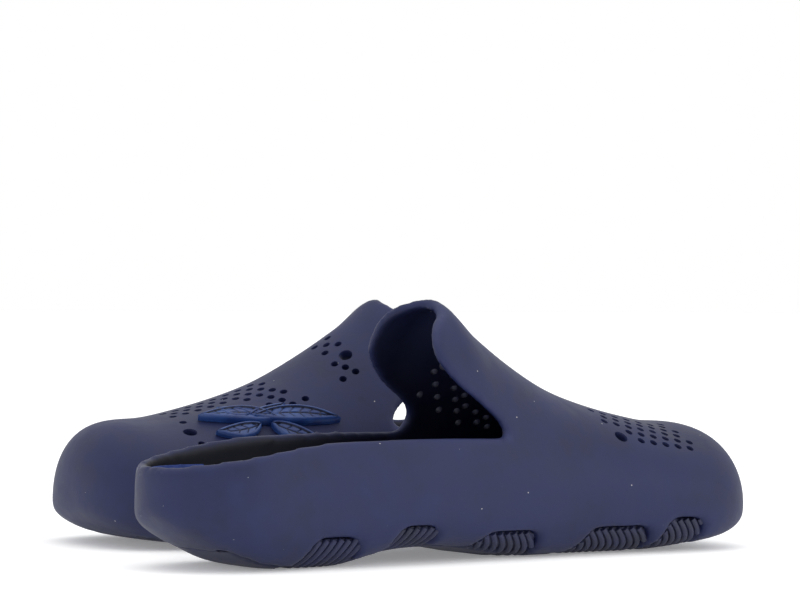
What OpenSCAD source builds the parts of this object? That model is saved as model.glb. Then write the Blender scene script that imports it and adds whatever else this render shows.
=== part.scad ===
// A pair of moulded rubber garden clogs: open heel, closed toe, vented upper, ribbed tread.
// The right clog points along +X with the wearer's left at +Y, and its heel rests at the origin.
// The left clog is its mirror image, standing beside it and facing back, with a leaf charm
// pushed into one of the upper's charm holes.

/* [Clog] */
// Outer length of one clog, heel to toe
clog_l = 300; // [285:1:315]
// Thickness of the moulded wall
wall = 5; // [4:0.5:6]
// Height of the tongue where the foot goes in
tongue_h = 109; // [104:1:114]
// Height of the rim at the back of the heel
heel_rim_h = 42; // [40:1:46]
// Height of the rim along the side of the foot opening
side_rim_h = 52.5; // [50:0.5:55]

/* [Tread] */
// Depth of the tread unit let into the underside
tread_t = 9; // [8:0.5:10]
// Distance that the ribs lie behind the side wall in each window
window_recess = 2.2; // [1.5:0.1:3]
// Distance from one rib to the next
rib_pitch = 4.6; // [4.2:0.1:6]
// Width of the groove between two ribs
groove_w = 1.6; // [1:0.1:2]
// Depth of the groove between two ribs
groove_d = 1.3; // [0.8:0.1:1.8]

/* [Footbed] */
// Thickness of the loose footbed
footbed_t = 6; // [4:0.5:7]
// Gap between the footbed and the clog's inner wall
footbed_gap = 0.15; // [0.1:0.05:0.5]

/* [Charm] */
// Radius of a charm hole
hole_r = 3; // [2.8:0.1:3.6]
// Length of the leaf charm
charm_l = 67; // [60:1:68]
// Width of the leaf charm
charm_w = 24; // [20:1:28]
// Thickness of the leaf charm
charm_t = 4.5; // [3:0.5:6]
// Radius of the stud that the charm is pushed in by
stud_r = 2.3; // [2:0.1:2.6]

/* [Pair] */
// How far the left clog's heel stands in front of the right clog's heel
left_x = 277.5; // [270:1:290]
// How far the left clog's heel stands to the left of the right clog's heel
left_y = 96; // [95:1:110]
// Direction in which the left clog points, turned from the right clog's
left_turn = 174.34; // [174:0.5:178]

/* [Hidden] */
navy = [0.19, 0.21, 0.38];
tread_navy = [0.16, 0.18, 0.33];
bright_blue = [0.12, 0.22, 0.55];
charm_blue = [0.14, 0.25, 0.60];

heel_rest_x = 60;                     // where the heel's tread stands on the ground
su = clog_l / 300;                    // stations below are given for a 300 mm clog
ring_steps = 28;
round_steps = 36;
low_exp = 3.6;                        // how square the section is below its widest level
floor_exp = 2.6;                      // the same for the inner floor
bed_exp = 2.2;                        // and for the hollow of the footbed
bed_lip = 2.4;                        // thickness of the footbed's raised edge
bed_l = 268 * su;                     // where the footbed ends under the toe cap
tread_rings = 18;
tread_sides = 20;
bed_rings = 20;
bed_sides = 24;

// Half widths to the outer (right, w_out) and inner (left, w_in) side of the foot
w_x = [0, 60, 120, 180, 230, 300] * su;
w_out = [38, 36, 41.7, 49, 53.7, 57.8];
w_in = [36.7, 36.8, 40.1, 44.8, 49.4, 52];
// Centre line, which swings towards the big toe
mid_x = [0, 100, 200, 300] * su;
mid_y = [-0.4, 0, 10, 4];
// Height of the widest level
wide_x = mid_x;
wide_z = [25.6, 28.7, 24.9, 18.5];
// Height of the crest, from the tongue down to the toe cap
crest_x = [0, 143, 160, 180, 200, 220, 245, 265, 300] * su;
crest_z = [tongue_h, tongue_h, 97.3, 84.1, 73, 65.6, 59.1, 55.8, 56];
// Underside, with a raised arch and a sprung toe; what is below 0 is trimmed flat
sole_x = [0, 14, 25, 38, 55, 78, 100, 120, 137, 155, 170, 200, 240, 265, 300] * su;
sole_z = [20, 12.5, 7.2, 1.6, -0.9, -0.6, 4.2, 5.5, 4.4, 1.4, -0.8, -1.2, -0.9, 1.7, 7.1];
// Inner floor that the footbed lies on
floor_x = [0, 40, 80, 130, 180, 230, 270, 300] * su;
floor_z = [27, 24.5, 23.5, 20.5, 17.5, 17.5, 18, 20];
// Upper edge of the footbed
edge_x = [0, 60, 120, 180, 300] * su;
edge_z = [41, 40, 35, 27, 25];
// How square the section is above its widest level
high_x = [0, 110, 150, 200, 250, 300] * su;
high_exp = [1.8, 1.8, 1.8, 1.9, 2, 2.1];
// End rounding: [heel radius, heel exponent, toe radius, toe exponent]
plan_end = [44, 2.0, 57.7, 2.6];
top_end = [30, 2.4, 32, 2.8];
sole_end = [9.5, 2.3, 26.3, 1.9];
// Side view of the foot opening: rim heights, then the collar's rake from rim to tongue
rim_x = [-20, 0, 30, 60, 90, 120, 150] * su;
rim_z = [heel_rim_h - 3, heel_rim_h, heel_rim_h + 4.6, side_rim_h - 1.4, side_rim_h + 0.1,
    side_rim_h + 0.4, side_rim_h - 0.5];
collar_z = [side_rim_h - 0.5, 58, 66, 76, 87, 97, 104, tongue_h];
collar_x = [155.5, 151, 142, 133, 126.5, 128, 133, 143] * su;
corner_r = 5;

// Tread windows: [rear foot, rear top, front top, front foot, top height, rib lean]
windows = [[51, 60, 84, 80, 13, 5], [94, 100, 122, 119, 16.5, 5], [136, 146, 173, 177, 12.5, -2],
    [192, 200, 231, 235, 12.5, -2], [234, 240, 258, 261, 15.5, -2]];
window_r = 4;
pocket_k = 0.62;                      // share of the half width that the tread pocket takes
tongue_k = 0.56;                      // share where the ribbed tongues leave the pocket
spine_k = 0.5;                        // share of the smooth land down the middle
fit_gap = 0.1;

// Charm holes [station, height] on the two sides; the pattern is the same on both clogs
holes_left_side = [[169, 84], [254.5, 50.5]];
holes_right_side = [[223, 50.5]];
charm_seat = [216, 54.5];
charm_lift = 0.3;
stud_head_r = hole_r - 0.1;
stud_head_t = 2.5;
stud_bite = 1.2;                      // how far the stem reaches into the leaf
grip = wall + 0.8;                    // length of stem under the outer skin
drill_in = 14;
drill_out = 6;

function clamp(v) = min(max(v, 0), 1);
function span(xs, x, i = 0) = i >= len(xs) - 2 || x <= xs[i + 1] ? i : span(xs, x, i + 1);
function slope(xs, ys, i) =
    let(a = max(i - 1, 0), b = min(i + 1, len(xs) - 1)) (ys[b] - ys[a]) / (xs[b] - xs[a]);
// Smooth curve through stations xs with heights ys
function curve(xs, ys, x) =
    let(i = span(xs, x), h = xs[i + 1] - xs[i], t = clamp((x - xs[i]) / h))
    (2 * t ^ 3 - 3 * t ^ 2 + 1) * ys[i] + (t ^ 3 - 2 * t ^ 2 + t) * h * slope(xs, ys, i)
    + (3 * t ^ 2 - 2 * t ^ 3) * ys[i + 1] + (t ^ 3 - t ^ 2) * h * slope(xs, ys, i + 1);
// 1 along the middle of the clog, falling to 0 at an end that lies d inside the outer skin
function ends(x, e, d) =
    (1 - clamp((e[0] * su - x) / (e[0] * su - d)) ^ e[1]) ^ (1 / e[1])
    * (1 - clamp((x - clog_l + e[2] * su) / (e[2] * su - d)) ^ e[3]) ^ (1 / e[3]);
function half_w(x, side, d = 0) =
    (curve(w_x, side < 0 ? w_out : w_in, x) - d) * ends(x, plan_end, d);
function signed_pow(v, p) = sign(v) * abs(v) ^ p;
// One point of a form's ring at station x: d inside the outer skin, on the floor f
function ring_point(x, a, d, f, low) =
    let(up = sin(a) >= 0, n = up ? curve(high_x, high_exp, x) : low,
        wz = curve(wide_x, wide_z, x),
        h = up ? (curve(crest_x, crest_z, x) - d - wz) * ends(x, top_end, d)
            : (wz - curve(f[0], f[1], x)) * ends(x, sole_end, min(d, 6)))
    [x, curve(mid_x, mid_y, x) - half_w(x, -cos(a), d) * signed_pow(cos(a), 2 / n),
        wz + h * signed_pow(sin(a), 2 / n)];
// y of the outer skin at station x and height z, above the widest level
function skin_y(x, z, side) =
    let(n = curve(high_x, high_exp, x), wz = curve(wide_x, wide_z, x),
        h = (curve(crest_x, crest_z, x) - wz) * ends(x, top_end, 0))
    curve(mid_x, mid_y, x) + side * half_w(x, side) * (1 - clamp((z - wz) / h) ^ n) ^ (1 / n);
function unit(v) = v / norm(v);
function skin_normal(x, z, side) =
    unit([side * (skin_y(x - 1, z, side) - skin_y(x + 1, z, side)) / 2, side,
        side * (skin_y(x, z - 1, side) - skin_y(x, z + 1, side)) / 2]);

// Stands its children on the outer skin, with their z axis along the skin's normal
module on_skin(x, z, side) {
    n = skin_normal(x * su, z, side);
    t = unit(cross([0, 0, 1], n));
    b = cross(n, t);
    p = [x * su, skin_y(x * su, z, side), z];
    multmatrix([[t.x, b.x, n.x, p.x], [t.y, b.y, n.y, p.y], [t.z, b.z, n.z, p.z]]) children();
}

// Keeps its children as the one moulded skin that they make together
module moulded() {
    resize([0, 0, 0]) children();
}

// A closed form that follows the clog's shape d inside its outer skin
module form(d, f, low = low_exp, rings = ring_steps, sides = round_steps) {
    stations = [for (i = [1 : rings - 1]) d + (clog_l - 2 * d) * (1 - cos(180 * i / rings)) / 2];
    nr = len(stations);
    heel = [d, curve(mid_x, mid_y, d), curve(wide_x, wide_z, d)];
    toe = [clog_l - d, curve(mid_x, mid_y, clog_l - d), curve(wide_x, wide_z, clog_l - d)];
    points = concat([for (x = stations, k = [0 : sides - 1])
        ring_point(x, 360 * k / sides, d, f, low)], [heel, toe]);
    function at(i, k) = i * sides + k % sides;
    faces = concat(
        [for (i = [0 : nr - 2], k = [0 : sides - 1], half = [0, 1]) half == 0
            ? [at(i, k), at(i, k + 1), at(i + 1, k + 1)] : [at(i, k), at(i + 1, k + 1), at(i + 1, k)]],
        [for (k = [0 : sides - 1]) [nr * sides, at(0, k + 1), at(0, k)]],
        [for (k = [0 : sides - 1]) [nr * sides + 1, at(nr - 1, k), at(nr - 1, k + 1)]]);
    polyhedron(points, faces);
}

module above_ground() {
    translate([-clog_l, -clog_l, 0]) cube([3 * clog_l, 2 * clog_l, clog_l]);
}

// Upright prism over the share k of the clog's plan
module plan(k, x0, x1, z0, z1) {
    steps = 18;
    xs = [for (i = [0 : steps]) x0 + (x1 - x0) * i / steps];
    translate([0, 0, z0]) linear_extrude(z1 - z0) polygon(concat(
        [for (x = xs) [x, curve(mid_x, mid_y, x) - k * half_w(x, -1)]],
        [for (i = [steps : -1 : 0]) [xs[i], curve(mid_x, mid_y, xs[i]) + k * half_w(xs[i], 1)]]));
}

// Prism across the clog over a side-view outline
module across() {
    rotate([90, 0, 0]) linear_extrude(2 * clog_l, center = true) children();
}

// Everything behind the collar and above the rim
module foot_opening() {
    steps = 14;
    rim = [for (i = [0 : steps]) let(x = rim_x[0] + (rim_x[6] - rim_x[0]) * i / steps)
        [x, curve(rim_x, rim_z, x)]];
    collar = [for (i = [1 : steps]) let(z = collar_z[0] + (tongue_h - collar_z[0]) * i / steps)
        [curve(collar_z, collar_x, z), z]];
    across() offset(r = corner_r, $fn = 32) offset(delta = -corner_r)
        polygon(concat(rim, collar, [[collar_x[7], 2 * tongue_h], [rim_x[0], 2 * tongue_h]]));
}

module window_outline(w) {
    offset(r = window_r, $fn = 16) offset(delta = -window_r)
        polygon([[w[0] * su, -6], [w[1] * su, w[4]], [w[2] * su, w[4]], [w[3] * su, -6]]);
}

// The tread windows of both sides, grown by g
module window_cuts(g = 0) {
    difference() {
        across() for (w = windows) offset(delta = g) window_outline(w);
        plan(tongue_k, 10, clog_l - 10, -10, tongue_h);
    }
}

module tread_pocket(g = 0) {
    plan(pocket_k, 24 - g, clog_l - 22 + g, -10, tread_t + g);
}

// Grooves between the ribs on the windows' tongues, running on under the sole
module rib_grooves() {
    difference() {
        across() for (w = windows) {
            count = floor((w[3] - w[0] - 2) * su / rib_pitch);
            for (i = [0 : count]) {
                x = w[0] * su + 3 + i * rib_pitch;
                polygon([[x - w[5] / 2, -4], [x + w[5], 20], [x + w[5] + groove_w, 20], [x - w[5] / 2 + groove_w, -4]]);
            }
        }
        form(window_recess + groove_d, [sole_x, sole_z + [for (v = sole_z) groove_d]],
            low_exp, tread_rings, tread_sides);
        plan(spine_k, 10, clog_l - 10, -10, tongue_h);
    }
}

// The upper and side wall, one moulding; left_side is +1 or -1, the side of the left-side pattern
module clog_body(left_side) {
    color(navy) difference() {
        moulded() difference() {
            intersection() {
                form(0, [sole_x, sole_z]);
                above_ground();
            }
            form(wall, [floor_x, floor_z], floor_exp);
            foot_opening();
            tread_pocket();
            window_cuts();
        }
        for (h = concat(holes_left_side, [charm_seat])) on_skin(h[0], h[1], left_side) drill();
        for (h = holes_right_side) on_skin(h[0], h[1], -left_side) drill();
    }
}

module drill() {
    translate([0, 0, -drill_in]) cylinder(r = hole_r, h = drill_in + drill_out, $fn = 48);
}

// Ribbed tread unit: a pad in the pocket with a tongue out to each window
module clog_outsole() {
    color(tread_navy) moulded() difference() {
        intersection() {
            form(window_recess, [sole_x, sole_z], low_exp, tread_rings, tread_sides);
            above_ground();
            union() {
                tread_pocket(-fit_gap);
                window_cuts(-fit_gap);
            }
        }
        rib_grooves();
    }
}

// Loose footbed with a raised edge round the heel
module clog_footbed() {
    color(bright_blue) moulded() difference() {
        intersection() {
            form(wall + footbed_gap, [floor_x, floor_z + [for (v = floor_z) footbed_gap]],
                floor_exp, bed_rings, bed_sides);
            across() polygon(concat([[0, 0]], [for (i = [0 : 12]) let(x = bed_l * i / 12)
                [x, curve(edge_x, edge_z, x)]], [[bed_l, 0]]));
        }
        form(wall + bed_lip, [floor_x, floor_z + [for (v = floor_z) footbed_t]], bed_exp, bed_rings, bed_sides);
    }
}

module place_right() {
    translate([-heel_rest_x * su, 0, 0]) children();
}

module place_left() {
    translate([left_x, left_y, 0]) rotate([0, 0, left_turn]) mirror([0, 1, 0]) children();
}

// Pointed leaf between two arcs
module leaf_outline() {
    away = (charm_l ^ 2 - charm_w ^ 2) / (4 * charm_w);
    intersection_for (s = [-1, 1]) translate([0, s * away]) circle(r = away + charm_w / 2, $fn = 128);
}

module right_body() { place_right() clog_body(1); }
module right_outsole() { place_right() clog_outsole(); }
module right_footbed() { place_right() clog_footbed(); }
module left_body() { place_left() clog_body(-1); }
module left_outsole() { place_left() clog_outsole(); }
module left_footbed() { place_left() clog_footbed(); }

// Leaf plate that hugs the upper
module charm_leaf() {
    color(charm_blue) place_left() moulded() intersection() {
        on_skin(charm_seat[0], charm_seat[1], -1) translate([0, 0, -20]) linear_extrude(40) leaf_outline();
        difference() {
            form(-charm_lift - charm_t, [sole_x, sole_z]);
            form(-charm_lift, [sole_x, sole_z]);
        }
    }
}

// Stud on the leaf's back: a stem through the wall and a button inside it
module charm_stud() {
    color(charm_blue) place_left() on_skin(charm_seat[0], charm_seat[1], -1) {
        translate([0, 0, -grip - stud_head_t / 2])
            cylinder(r = stud_r, h = grip + stud_head_t / 2 + charm_lift + stud_bite, $fn = 40);
        translate([0, 0, -grip - stud_head_t]) cylinder(r = stud_head_r, h = stud_head_t, $fn = 40);
    }
}

right_body();
right_outsole();
right_footbed();
left_body();
left_outsole();
left_footbed();
charm_leaf();
charm_stud();
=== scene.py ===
import bpy
import math
import numpy as np
from mathutils import Matrix, Vector
from mathutils.kdtree import KDTree


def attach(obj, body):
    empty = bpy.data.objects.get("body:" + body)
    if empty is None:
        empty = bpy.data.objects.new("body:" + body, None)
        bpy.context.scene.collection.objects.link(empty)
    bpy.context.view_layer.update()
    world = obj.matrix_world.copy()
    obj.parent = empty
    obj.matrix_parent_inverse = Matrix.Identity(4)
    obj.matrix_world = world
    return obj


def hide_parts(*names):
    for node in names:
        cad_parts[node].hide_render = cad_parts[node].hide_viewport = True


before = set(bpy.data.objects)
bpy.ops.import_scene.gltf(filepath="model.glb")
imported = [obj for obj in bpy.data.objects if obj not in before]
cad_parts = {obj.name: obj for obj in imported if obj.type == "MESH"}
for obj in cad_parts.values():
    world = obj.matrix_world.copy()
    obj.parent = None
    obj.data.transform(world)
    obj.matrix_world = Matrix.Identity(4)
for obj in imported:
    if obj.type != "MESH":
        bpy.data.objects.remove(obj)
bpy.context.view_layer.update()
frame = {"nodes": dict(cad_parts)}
print("frame loaded:", ", ".join(frame["nodes"]))

# A pair of moulded foam clogs. One clog is worked out in its own millimetres, heel at x = 0 and
# toe at x = 300, outer side of the foot at -y, and is then set into the frame twice, once mirrored.

clog = {
    "length": 300.0,
    "wall": 5.0,                                        # thickness of the moulding
    "footFlat": 0.1,                                    # what is worn flat underneath
    "clear": 90,                                        # past every side of the clog
    "widthX": [0, 60, 120, 180, 230, 300],
    "widthOuter": [38, 36, 41.7, 49, 53.7, 57.8],       # half width towards the little toe
    "widthInner": [36.7, 36.8, 40.1, 44.8, 49.4, 52],   # half width towards the big toe
    "middleX": [0, 100, 200, 300],
    "middleY": [-0.4, 0, 10, 4],                        # the centre line swings to the big toe
    "wideZ": [25.6, 28.7, 24.9, 18.5],                  # height of the widest level
    "crestX": [0, 143, 160, 180, 200, 220, 245, 265, 300],
    "crestZ": [110.5, 110.5, 97.6, 84.1, 73, 65.6, 59.1, 55.8, 56],
    "soleX": [0, 14, 25, 38, 55, 78, 100, 120, 137, 155, 170, 200, 240, 265, 300],
    "soleZ": [20, 12.5, 7.2, 1.6, -0.9, -0.6, 4.2, 5.5, 4.4, 1.4, -0.8, -1.2, -0.9, 1.7, 7.1],
    "floorX": [0, 40, 80, 130, 180, 230, 270, 300],
    "floorZ": [27, 24.5, 23.5, 20.5, 17.5, 17.5, 18, 20],   # inner floor, under the footbed
    "squareX": [0, 110, 150, 200, 250, 300],
    "squareHigh": [1.8, 1.8, 1.8, 1.9, 2, 2.1],         # how square the section is up high
    "squareLow": 3.6,
    "squareFloor": 2.6,
    "planEnds": (44, 2.0, 57.7, 2.6),                   # heel radius and power, toe radius and power
    "topEnds": (30, 2.4, 32, 2.8),
    "soleEnds": (9.5, 2.3, 26.3, 1.9),
    "soleEndInset": 6,
}

opening = {
    "rimX": [-20, 0, 30, 60, 90, 120, 150],
    "rimZ": [39, 42, 46.6, 51.1, 52.6, 52.9, 52],
    "collarZ": [52, 58, 66, 76, 87, 97, 104, 109],
    "collarOuter": [156.1, 154.3, 146, 133.7, 126.6, 130.6, 140, 143],
    "collarInner": [156, 159.7, 154.1, 138.5, 127.6, 126.7, 130.3, 143],
    "blendHalf": 16,          # the two collar lines meet over this much either side of the crest
    "steps": 60, "ceiling": 220,      # the cutter's fineness and its height
    "lowest": 30, "far": 50.0,      # no edge lies lower; stands for the distance of what does
    "roll": 2.4,              # radius of the rounded edge
    "drop": 2.5,              # how far its middle lies inside the edge line
}

tread = {
    "windows": [               # rear foot, rear top, front top, front foot, top height, rib slope
        (51, 60, 84, 80, 13, 0.55), (94, 100, 122, 119, 16.5, 0.5), (136, 146, 173, 177, 12.5, -1.2),
        (192, 200, 231, 235, 12.5, -1.2), (234, 240, 258, 261, 15.5, -1.0)],
    "cornerRadius": 6.5,
    "windowFoot": -6, "windowBelow": 14,
    "pocketShare": 0.62,       # share of the half width that the tread pocket takes
    "pocketFrom": 24, "pocketTo": 278, "pocketTop": 9,
    "recess": 2.0,             # how far the ribs lie behind the side wall
    "ribRadius": 1.35,
    "ribPitch": 3.6,
    "ribSides": 10,
    "bandDepth": 1.5,          # how far the bands of ribs lie in the underside
}

footbed = {
    "edgeX": [0, 60, 120, 180, 300],
    "edgeZ": [41, 40, 35, 27, 25],
    "end": 268, "gap": 0.25, "lip": 2.4, "thickness": 6, "hollow": 2.2,
}

quality = {
    "bodyVoxel": 1.6, "treadVoxel": 1.3, "footbedVoxel": 1.5, "rings": 150, "sides": 168,
    "bodyRounds": 8, "edgeRounds": 6, "windowRounds": 4, "treadRounds": 6, "footbedRounds": 8,
}


def smoothCurve(stations, values, x):
    s, v, x = np.asarray(stations, float), np.asarray(values, float), np.asarray(x, float)
    slope = np.empty_like(v)
    slope[1:-1] = (v[2:] - v[:-2]) / (s[2:] - s[:-2])
    slope[0] = (v[1] - v[0]) / (s[1] - s[0])
    slope[-1] = (v[-1] - v[-2]) / (s[-1] - s[-2])
    i = np.clip(np.searchsorted(s, x, side="right") - 1, 0, len(s) - 2)
    h = s[i + 1] - s[i]
    t = np.clip((x - s[i]) / h, 0, 1)
    return ((2 * t**3 - 3 * t**2 + 1) * v[i] + (t**3 - 2 * t**2 + t) * h * slope[i]
            + (3 * t**2 - 2 * t**3) * v[i + 1] + (t**3 - t**2) * h * slope[i + 1])


def endFall(x, ends, inset):      # 1 along the middle, falling to 0 at an end lying inset within
    heel, heelPower, toe, toePower = ends
    u = np.clip((heel - x) / (heel - inset), 0, 1)
    w = np.clip((x - clog["length"] + toe) / (toe - inset), 0, 1)
    return (1 - u**heelPower) ** (1 / heelPower) * (1 - w**toePower) ** (1 / toePower)


def middleOf(x):
    return smoothCurve(clog["middleX"], clog["middleY"], x)


def halfWidth(x, side, inset=0.0):
    outer = smoothCurve(clog["widthX"], clog["widthOuter"], x)
    inner = smoothCurve(clog["widthX"], clog["widthInner"], x)
    return (np.where(side < 0, outer, inner) - inset) * endFall(x, clog["planEnds"], inset)


def sectionPoint(x, angle, inset=0.0, floor=None, squareLow=None):
    x, angle = np.broadcast_arrays(np.asarray(x, float), np.asarray(angle, float))
    floorX, floorZ = floor or (clog["soleX"], clog["soleZ"])
    c, s = np.cos(angle), np.sin(angle)
    power = np.where(s >= 0, smoothCurve(clog["squareX"], clog["squareHigh"], x),
                     squareLow or clog["squareLow"])
    wide = smoothCurve(clog["middleX"], clog["wideZ"], x)
    rise = smoothCurve(clog["crestX"], clog["crestZ"], x) - inset - wide
    rise = rise * endFall(x, clog["topEnds"], inset)
    drop = wide - smoothCurve(floorX, floorZ, x)
    drop = drop * endFall(x, clog["soleEnds"], min(inset, clog["soleEndInset"]))
    y = middleOf(x) + halfWidth(x, c, inset) * np.sign(c) * np.abs(c) ** (2 / power)
    z = wide + np.where(s >= 0, rise, drop) * np.sign(s) * np.abs(s) ** (2 / power)
    return np.stack([x, y, z], -1)


def newMesh(name, points, faces):
    mesh = bpy.data.meshes.new(name)
    mesh.from_pydata(np.asarray(points, float).tolist(), [], faces)
    mesh.update()
    return mesh


def newObject(name, mesh):
    obj = bpy.data.objects.new(name, mesh)
    bpy.context.scene.collection.objects.link(obj)
    return obj


def discard(*objects):
    for obj in objects:
        mesh = obj.data
        bpy.data.objects.remove(obj)
        if mesh.users == 0:
            bpy.data.meshes.remove(mesh)


def settle(obj):      # turns an object's modifiers into its plain mesh
    bpy.context.view_layer.update()
    depsgraph = bpy.context.evaluated_depsgraph_get()
    mesh = bpy.data.meshes.new_from_object(obj.evaluated_get(depsgraph))
    old = obj.data
    obj.modifiers.clear()
    obj.data = mesh
    bpy.data.meshes.remove(old)
    return obj


def combine(base, operation, *others):
    for other in others:
        modifier = base.modifiers.new("combine", "BOOLEAN")
        modifier.operation = operation
        modifier.solver = "MANIFOLD"
        modifier.object = other
    settle(base)
    discard(*others)
    return base


def meshPoints(mesh):
    flat = np.empty(len(mesh.vertices) * 3)
    mesh.vertices.foreach_get("co", flat)
    return flat.reshape(-1, 3)


def setMeshPoints(mesh, points):
    mesh.vertices.foreach_set("co", np.ascontiguousarray(points, dtype=np.float32).ravel())
    mesh.update()


def closedLoft(name, loops):      # joins loops of equal length and closes both ends with a fan
    count, size = len(loops), len(loops[0])
    points = [p for loop in loops for p in loop]
    faces = []
    for i in range(count - 1):
        for k in range(size):
            a, b = i * size + k, i * size + (k + 1) % size
            faces.append((a, b, b + size, a + size))
    first, last = len(points), len(points) + 1
    points += [np.mean(loops[0], axis=0), np.mean(loops[-1], axis=0)]
    for k in range(size):
        faces.append((first, (k + 1) % size, k))
        faces.append((last, (count - 1) * size + k, (count - 1) * size + (k + 1) % size))
    return newObject(name, newMesh(name, points, faces))


def clogForm(name, inset=0.0, floor=None, squareLow=None, density=1.0):
    rings, sides = int(quality["rings"] * density), int(quality["sides"] * density)
    length = clog["length"]
    t = np.arange(1, rings) / rings
    stations = inset + (length - 2 * inset) * (1 - np.cos(math.pi * t)) / 2
    angles = np.arange(sides) * 2 * math.pi / sides
    loops = [sectionPoint(x, angles, inset, floor, squareLow) for x in stations]
    obj = closedLoft(name, [list(loop) for loop in loops])
    points = meshPoints(obj.data)      # the two fans close at the form's own tips
    for index, x in ((-2, inset), (-1, length - inset)):
        points[index] = [x, middleOf(x), smoothCurve(clog["middleX"], clog["wideZ"], x)]
    setMeshPoints(obj.data, points)
    return outward(obj)


def outward(obj):      # turns a closed mesh's faces to the outside
    mesh = obj.data
    mesh.calc_loop_triangles()
    corners = np.empty(len(mesh.loop_triangles) * 3, dtype=np.int32)
    mesh.loop_triangles.foreach_get("vertices", corners)
    p = meshPoints(mesh)[corners].reshape(-1, 3, 3)
    if np.einsum("ij,ij->i", p[:, 0], np.cross(p[:, 1], p[:, 2])).sum() < 0:
        mesh.flip_normals()
    return obj


def acrossPrism(name, outline, yLow, yHigh):
    loops = [[(x, y, z) for x, z in outline] for y in (yLow, yHigh)]
    return outward(closedLoft(name, loops))


def block(name, low, high):
    return acrossPrism(name, [(low[0], low[2]), (high[0], low[2]), (high[0], high[2]), (low[0], high[2])],
                       low[1], high[1])


def planPrism(name, share, xFrom, xTo, zLow, zHigh):
    xs = np.linspace(xFrom, xTo, 40)
    outline = [(x, float(middleOf(x) - share * halfWidth(x, -1))) for x in xs]
    outline += [(x, float(middleOf(x) + share * halfWidth(x, 1))) for x in xs[::-1]]
    return outward(closedLoft(name, [[(x, y, z) for x, y in outline] for z in (zLow, zHigh)]))


def roundedOutline(corners, radius, steps=8):      # replaces each corner by an arc
    outline, count = [], len(corners)
    for i in range(count):
        corner = Vector(corners[i])
        back = (Vector(corners[i - 1]) - corner).normalized()
        ahead = (Vector(corners[(i + 1) % count]) - corner).normalized()
        half = back.angle(ahead) / 2
        reach = radius / math.tan(half)
        centre = corner + (back + ahead).normalized() * (radius / math.sin(half))
        start, end = corner + back * reach - centre, corner + ahead * reach - centre
        turn = start.angle_signed(end)
        for k in range(steps + 1):
            spoke = Matrix.Rotation(-turn * k / steps, 2) @ start
            outline.append(tuple(centre + spoke))
    return outline


def openingCutter():      # everything behind the collar and above the rim
    steps = opening["steps"]
    rimXs = np.linspace(opening["rimX"][0], opening["rimX"][-1], steps)
    rimZs = smoothCurve(opening["rimX"], opening["rimZ"], rimXs) - opening["drop"]
    collarZs = np.linspace(opening["collarZ"][0], opening["collarZ"][-1], steps + 1)[1:]
    outer = smoothCurve(opening["collarZ"], opening["collarOuter"], collarZs) + opening["drop"]
    inner = smoothCurve(opening["collarZ"], opening["collarInner"], collarZs) + opening["drop"]
    half, crestY = opening["blendHalf"], float(middleOf(135))
    loops = []
    for share in [-5] + list(np.linspace(-1, 1, 13)) + [5]:
        t = min(max((share + 1) / 2, 0), 1)
        t = t * t * (3 - 2 * t)
        collar = list(zip(outer * (1 - t) + inner * t, collarZs))
        line = list(zip(rimXs, rimZs)) + collar
        line += [(line[-1][0], opening["ceiling"]), (line[0][0], opening["ceiling"])]
        loops.append([(x, crestY + share * half, z) for x, z in line])
    return outward(closedLoft("openingCutter", loops))


def windowCutters(grow=0.0):
    cutters = []
    for window in tread["windows"]:
        rearFoot, rearTop, frontTop, frontFoot, top = window[:5]
        low = tread["windowFoot"] - tread["windowBelow"]      # the lower corners lie well below the sole
        spread = tread["windowBelow"] / (top - tread["windowFoot"])
        corners = [(rearFoot - grow - (rearTop - rearFoot) * spread, low), (rearTop - grow, top + grow),
                   (frontTop + grow, top + grow), (frontFoot + grow + (frontFoot - frontTop) * spread, low)]
        outline = roundedOutline(corners, tread["cornerRadius"])
        centre = (rearFoot + frontFoot) / 2
        for side in (-1, 1):
            inner = float(middleOf(centre) + side * (tread["pocketShare"] - 0.02) * halfWidth(centre, side))
            cutters.append(acrossPrism("window", outline, *sorted((inner, side * clog["clear"]))))
    return cutters


def remesh(obj, voxel):
    modifier = obj.modifiers.new("remesh", "REMESH")
    modifier.mode = "VOXEL"
    modifier.voxel_size = voxel
    modifier.adaptivity = 0
    return settle(obj)


def relax(mesh, rounds, weights=None, strength=0.5):      # smooths without the usual shrinking
    edges = np.empty(len(mesh.edges) * 2, dtype=np.int32)
    mesh.edges.foreach_get("vertices", edges)
    a, b = edges[0::2], edges[1::2]
    count = len(mesh.vertices)
    degree = np.bincount(a, minlength=count) + np.bincount(b, minlength=count)
    points = meshPoints(mesh)
    for i in range(rounds):
        # a plain smoothing step, then for even rounds a slightly larger step back
        step = strength if weights is not None or i % 2 == 0 else -strength * 1.04
        total = np.stack([np.bincount(a, points[b, k], count) + np.bincount(b, points[a, k], count)
                          for k in range(3)], 1)
        move = (total / degree[:, None] - points) * step
        points = points + (move if weights is None else move * weights[:, None])
    setMeshPoints(mesh, points)


def edgeLines():      # the rim and collar lines on the outer skin, one run for each side
    lines = []
    for side in (-1, 1):
        rimXs = np.linspace(2, opening["rimX"][-1], 240)
        rimZs = smoothCurve(opening["rimX"], opening["rimZ"], rimXs)
        collarZs = np.linspace(opening["collarZ"][0], opening["collarZ"][-1], 160)
        collarXs = smoothCurve(opening["collarZ"], opening["collarOuter" if side < 0 else "collarInner"],
                               collarZs)
        line = [skinAtHeight(x, z, side) for x, z in list(zip(rimXs, rimZs)) + list(zip(collarXs, collarZs))]
        lines.append(np.array(line))
    return lines


def edgeDistance(points):      # distance from the rim and collar lines, or far where it is low down
    line = np.concatenate(edgeLines())
    tree = KDTree(len(line))
    for index, point in enumerate(line):
        tree.insert(point, index)
    tree.balance()
    low, far = opening["lowest"], opening["far"]
    return np.array([tree.find(p)[2] if p[2] > low else far for p in points])


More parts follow.
